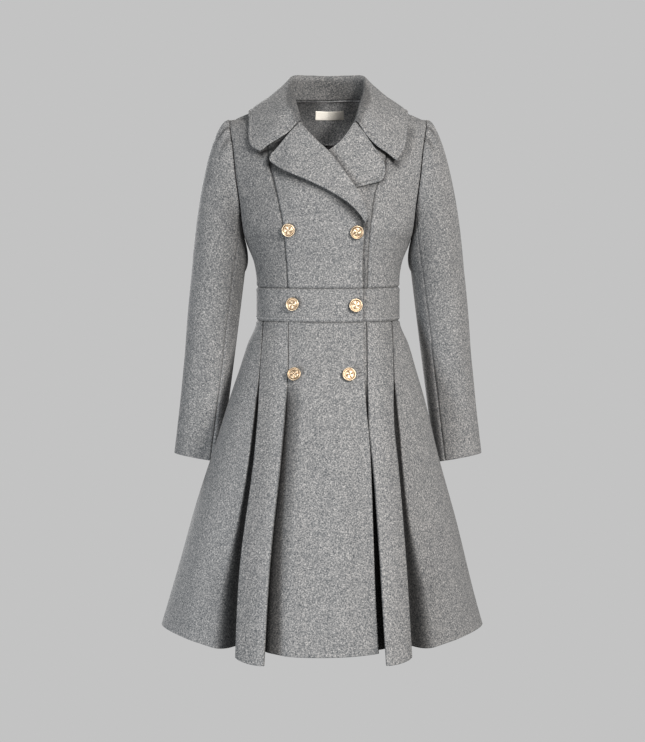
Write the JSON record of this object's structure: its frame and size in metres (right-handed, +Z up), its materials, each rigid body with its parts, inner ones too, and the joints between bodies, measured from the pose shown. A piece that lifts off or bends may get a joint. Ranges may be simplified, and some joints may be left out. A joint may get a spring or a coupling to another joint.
{
  "type": "a-line coat",
  "caption": "Double-breasted a-line coat of grey melange wool with notched lapels, a waistband, pleated skirt, long sleeves and gold shank buttons, filled out as worn.",
  "frame": {"origin": "middle of the wearer's shoulders at the base of the neck, where the coat is held up", "axes": "+Z up along the wearer's body, front towards -Y, the wearer's left towards +X"},
  "size_m": [0.5826, 0.4997, 1.0301],
  "materials": {
    "wool": "grey melange coating with a short felted nap",
    "buttons": "pale gold plated, satin with a raised rim",
    "label": "plain cream woven tape"
  },
  "bodies": {
    "root": {"front_centre_right": "wool", "front_centre_left": "wool", "front_side_right": "wool", "front_side_left": "wool", "back_centre": "wool", "back_side_right": "wool", "back_side_left": "wool", "collar": "wool", "lapel_right": "wool", "lapel_left": "wool", "waistband_front_right": "wool", "waistband_front_left": "wool", "waistband_back": "wool", "skirt_front_right": "wool", "skirt_front_left": "wool", "skirt_pleat_front_right": "wool", "skirt_pleat_front_left": "wool", "skirt_pleat_back_right": "wool", "skirt_pleat_back_left": "wool", "skirt_side_front_right": "wool", "skirt_side_front_left": "wool", "skirt_side_back_right": "wool", "skirt_side_back_left": "wool", "skirt_back_centre": "wool", "sleeve_top_right": "wool", "sleeve_top_left": "wool", "sleeve_under_right": "wool", "sleeve_under_left": "wool", "back_facing": "wool", "button_top_right": "buttons", "button_top_left": "buttons", "button_waist_right": "buttons", "button_waist_left": "buttons", "button_skirt_right": "buttons", "button_skirt_left": "buttons", "label": "label"}
  },
  "joints": []
}
